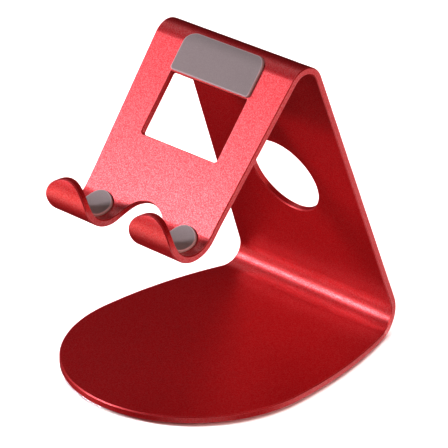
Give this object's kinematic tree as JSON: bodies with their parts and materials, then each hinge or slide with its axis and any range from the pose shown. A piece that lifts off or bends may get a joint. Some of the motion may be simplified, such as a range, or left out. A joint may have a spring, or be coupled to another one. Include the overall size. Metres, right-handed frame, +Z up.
{
  "type": "desktop phone stand",
  "caption": "Free-standing phone stand bent from one tapering aluminium plate: tongue-shaped base, leaning back panel with a cable hole, sloping front panel with a window and padded hooks.",
  "frame": {"origin": "centre of the overall bounding box in X and Y, at the level the feet stand on", "axes": "+Z up, the phone side faces -Y, +X to the right when facing the phone; mirror-symmetric about X = 0"},
  "size_m": [0.0954, 0.1118, 0.1144],
  "materials": {
    "anodised_aluminium": "bead-blasted, anodised red",
    "pad_silicone": "matt grey silicone",
    "foot_silicone": "matt grey silicone",
    "adhesive_film": "clear adhesive film"
  },
  "bodies": {
    "root": {"stand_frame": "anodised_aluminium", "upper_pad_adhesive": "adhesive_film", "upper_pad": "pad_silicone", "hook_pad_adhesive_left": "adhesive_film", "hook_pad_left": "pad_silicone", "hook_pad_adhesive_right": "adhesive_film", "hook_pad_right": "pad_silicone", "foot_front_left": "foot_silicone", "foot_adhesive_front_left": "adhesive_film", "foot_front_right": "foot_silicone", "foot_adhesive_front_right": "adhesive_film", "foot_rear_left": "foot_silicone", "foot_adhesive_rear_left": "adhesive_film", "foot_rear_right": "foot_silicone", "foot_adhesive_rear_right": "adhesive_film"}
  },
  "joints": []
}
